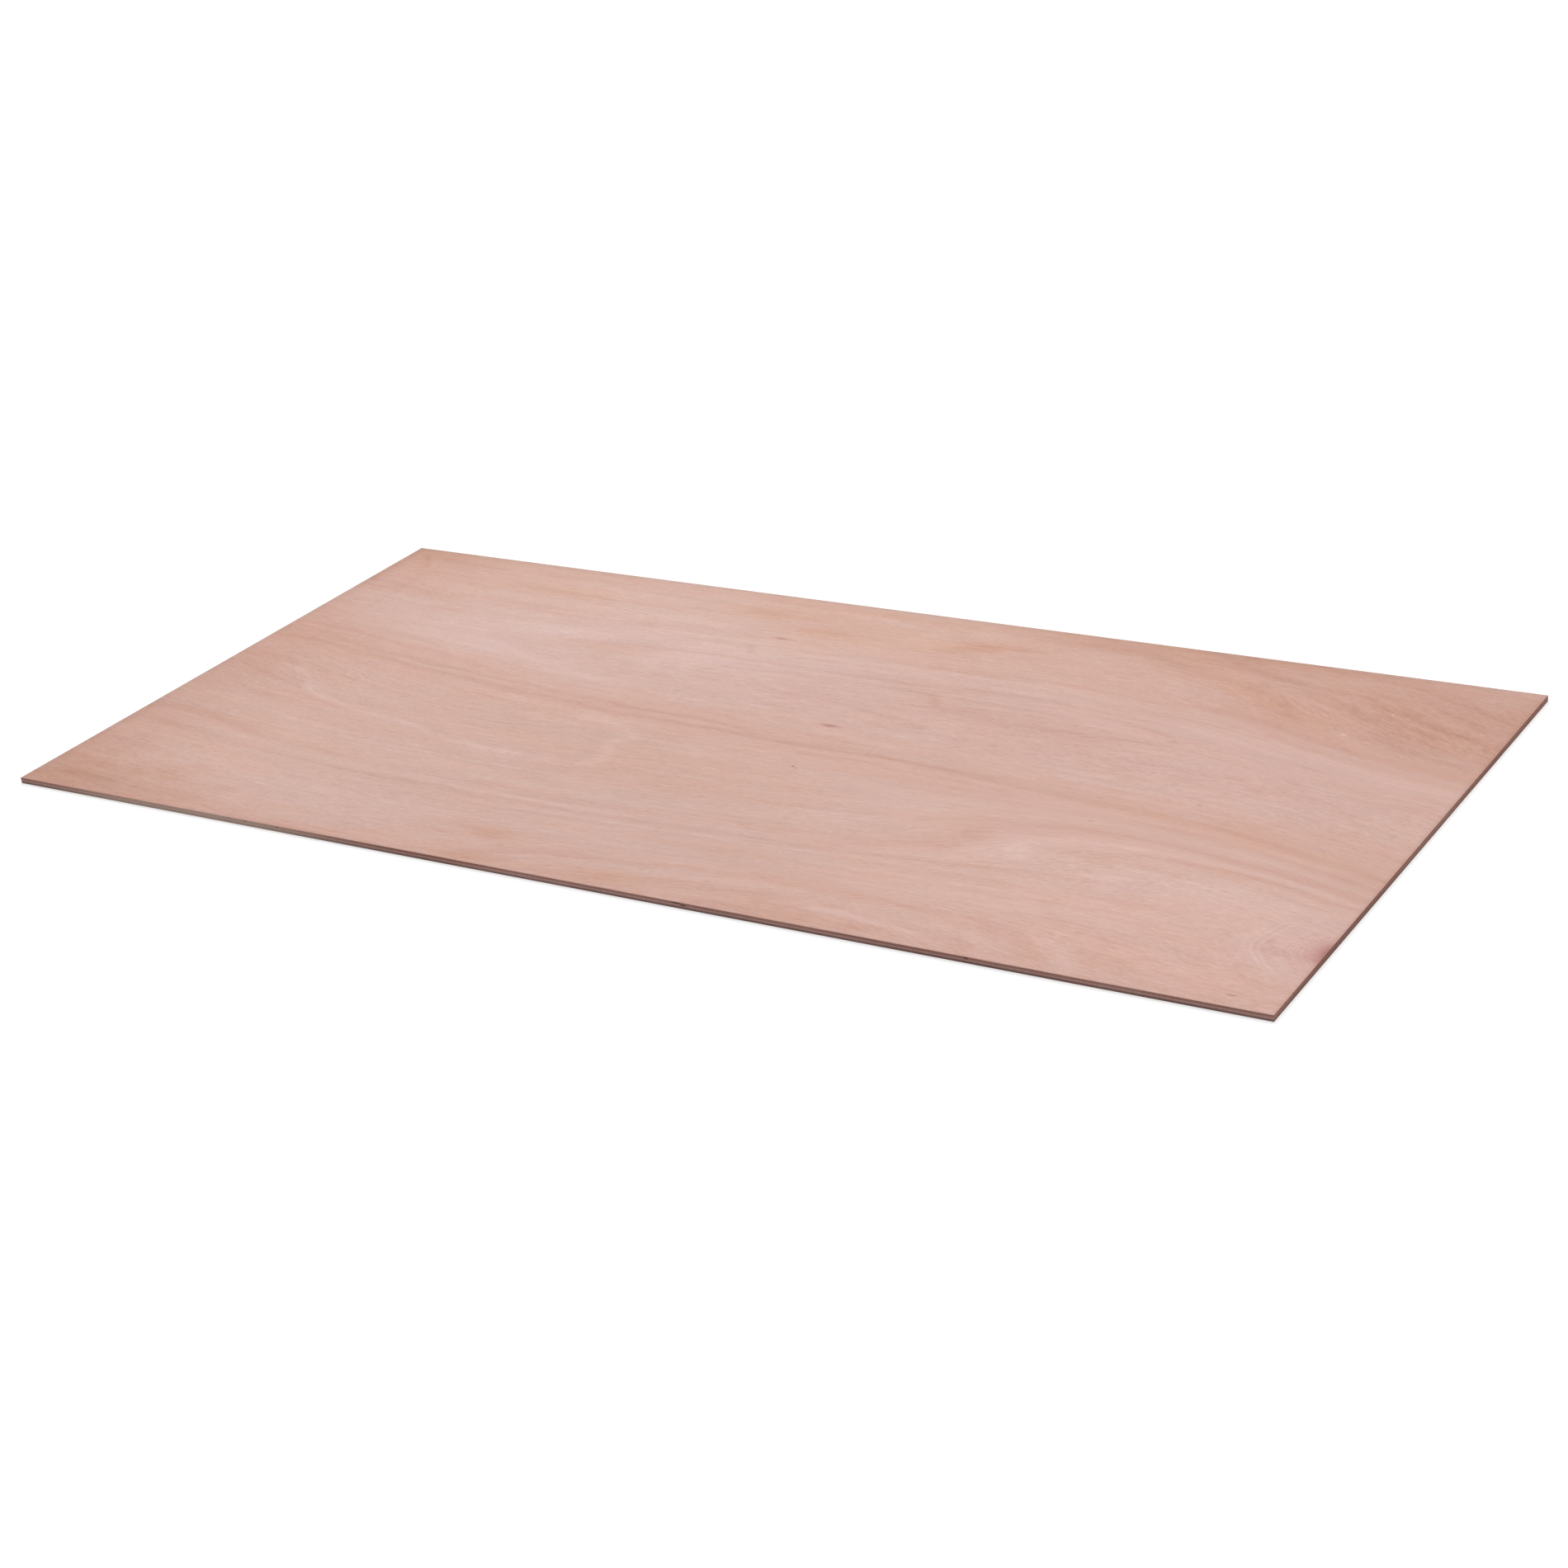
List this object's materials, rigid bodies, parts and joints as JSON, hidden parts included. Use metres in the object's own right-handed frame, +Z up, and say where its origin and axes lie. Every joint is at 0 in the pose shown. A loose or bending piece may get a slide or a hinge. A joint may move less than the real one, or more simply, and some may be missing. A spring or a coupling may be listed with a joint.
{
  "type": "plywood sheet",
  "caption": "Flat rectangular hardwood plywood sheet of cross-laid rotary-cut veneers, sawn square, for panels, floors, backs and boxes.",
  "frame": {"origin": "centre of the sheet's underside", "axes": "+Z up through the thickness, out of the good face; +X along the length and the grain of the face; +Y across it"},
  "size_m": [1.22, 0.61, 0.0055],
  "materials": {
    "back_veneer": "bare rotary-cut hardwood veneer, lightly sanded, lower grade",
    "core_veneer": "bare rotary-cut hardwood veneer, seen only as sawn edge",
    "face_veneer": "bare rotary-cut hardwood veneer, fine sanded, dull"
  },
  "bodies": {
    "root": {"back_veneer": "back_veneer", "core_strip_left": "core_veneer", "core_strip_middle": "core_veneer", "core_strip_right": "core_veneer", "face_veneer": "face_veneer"}
  },
  "joints": []
}
